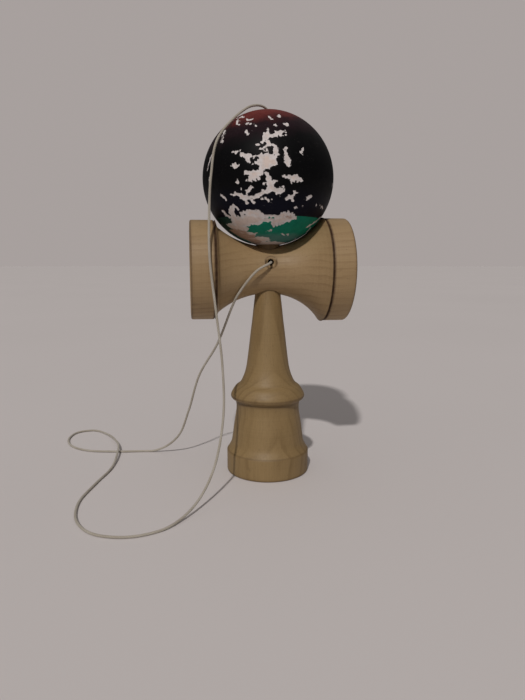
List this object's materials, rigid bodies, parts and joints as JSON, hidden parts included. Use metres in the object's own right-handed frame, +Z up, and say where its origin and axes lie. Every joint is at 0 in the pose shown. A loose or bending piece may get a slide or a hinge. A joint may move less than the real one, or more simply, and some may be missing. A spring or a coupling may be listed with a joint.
{
  "type": "kendama",
  "caption": "Wooden kendama: turned handle with base cup and spike, cupped crosspiece, painted ball on the spike, slack tether cord.",
  "frame": {"origin": "centre of the base cup's rim, on the surface the toy stands on", "axes": "+Z up the handle to the spike and ball, +X along the crosspiece towards its big cup, -Y the side where the cord comes out"},
  "size_m": [0.1442, 0.1376, 0.1709],
  "materials": {
    "wood": "bare pale beech, sanded, worn",
    "ball_paint": "painted wood, black with red top and green band, chipped",
    "bead": "satin",
    "cord": "twisted off-white thread"
  },
  "bodies": {
    "ken": {"ken": "wood", "sarado": "wood", "cord": "cord", "cord_end_in_ken": "cord"},
    "bead": {"bead": "bead", "cord_end_in_ball": "cord"},
    "ball": {"ball": "ball_paint"}
  },
  "joints": [
    {"name": "ball_lift", "type": "slide", "parent": "ken", "child": "bead", "axis": [0, 0, 1], "range_m": [0, 0.06], "deforming": ["cord"]},
    {"name": "ball_spin", "type": "hinge", "parent": "bead", "child": "ball", "pos_m": [0, 0, 0.1389], "axis": [0, 0, 1], "continuous": true}
  ]
}
